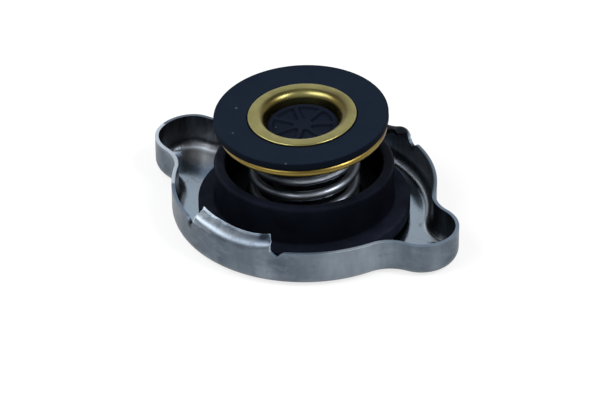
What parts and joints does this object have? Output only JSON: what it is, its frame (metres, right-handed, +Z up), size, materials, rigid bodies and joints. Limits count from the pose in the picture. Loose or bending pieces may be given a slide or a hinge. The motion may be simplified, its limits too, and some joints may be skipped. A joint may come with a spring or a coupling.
{
  "type": "radiator pressure cap",
  "caption": "Two-eared pressed steel radiator pressure cap lying on its crown, with a sprung rubber pressure valve, a brass eyelet and a small vacuum valve in its throat.",
  "frame": {"origin": "on the cap's axis at the outer face of the crown, which is the lowest face as the cap lies", "axes": "+Z up the cap's axis, from the crown towards the pressure valve; +X along the line of the two ears"},
  "size_m": [0.0642, 0.0482, 0.0222],
  "materials": {
    "plated_steel": "bright plated, lightly smudged",
    "spring_steel": "bright drawn wire and strip",
    "black_rubber": "satin black moulded rubber",
    "seal_rubber": "matte blue-black rubber",
    "brass": "drawn brass",
    "valve_moulding": "matte moulded"
  },
  "bodies": {
    "shell": {"shell": "plated_steel"},
    "insert": {"centre_rivet": "plated_steel", "spring_disc": "spring_steel", "neck_gasket": "black_rubber", "spring_seat": "plated_steel", "main_spring": "spring_steel"},
    "pressure_valve": {"valve_plate": "brass", "pressure_gasket": "seal_rubber", "eyelet": "brass", "valve_cage": "plated_steel", "vacuum_seat": "brass", "vacuum_spring": "spring_steel"},
    "vacuum_set": {"vacuum_valve": "valve_moulding", "vacuum_stem": "brass", "vacuum_keeper": "brass"}
  },
  "joints": [
    {"name": "insert_swivel", "type": "hinge", "parent": "shell", "child": "insert", "pos_m": [0, 0, 0.0012], "axis": [0, 0, 1], "continuous": true},
    {"name": "pressure_valve_slide", "type": "slide", "parent": "insert", "child": "pressure_valve", "axis": [0.0158, 0.059, -0.9981], "range_m": [0, 0.003], "stiffness_N_per_m": 6000, "deforming": ["main_spring"]},
    {"name": "vacuum_valve_slide", "type": "slide", "parent": "pressure_valve", "child": "vacuum_set", "axis": [-0.0158, -0.059, 0.9981], "range_m": [0, 0.0015], "stiffness_N_per_m": 200, "deforming": ["vacuum_spring"]}
  ]
}
